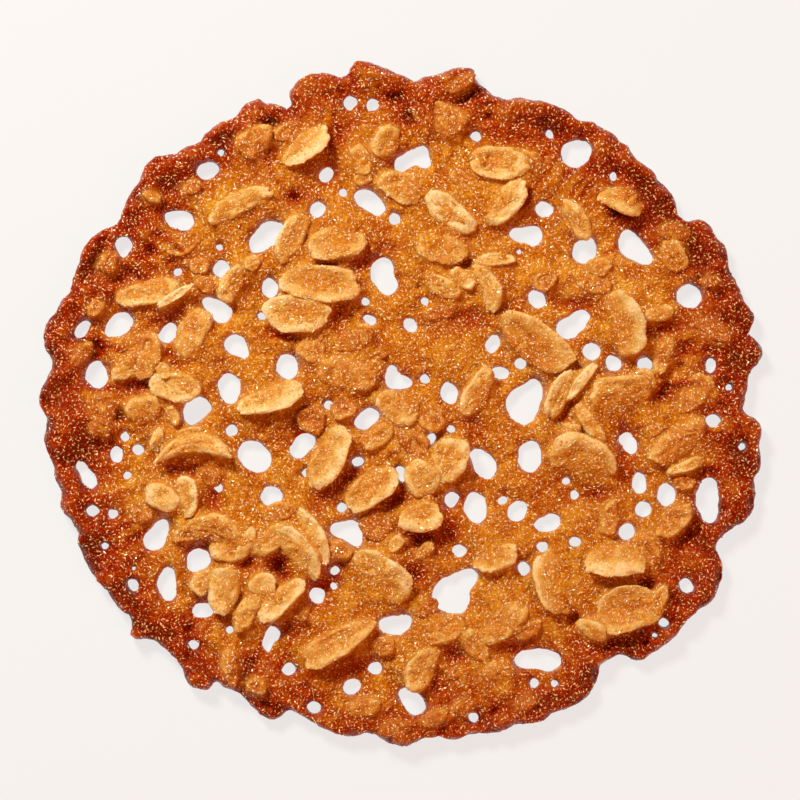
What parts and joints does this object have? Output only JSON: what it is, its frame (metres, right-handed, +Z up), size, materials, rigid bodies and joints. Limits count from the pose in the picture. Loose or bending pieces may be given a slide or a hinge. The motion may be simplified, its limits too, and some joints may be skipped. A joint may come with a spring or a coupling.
{
  "type": "oatmeal lace cookie",
  "caption": "Thin, roughly round lace cookie: a brittle baked caramel sheet open with small bubble holes, thicker at its lobed rim, with rolled oat flakes baked into its upper side.",
  "frame": {"origin": "centre of the flat underside's bounding rectangle, at the surface the cookie lies on", "axes": "+Z up out of the oat side, +X along the longest way across, +Y across it"},
  "size_m": [0.1, 0.0946, 0.0052],
  "materials": {
    "baked_caramel": "satin, crusted with sugar grains"
  },
  "bodies": {
    "root": {"cookie": "baked_caramel"}
  },
  "joints": []
}
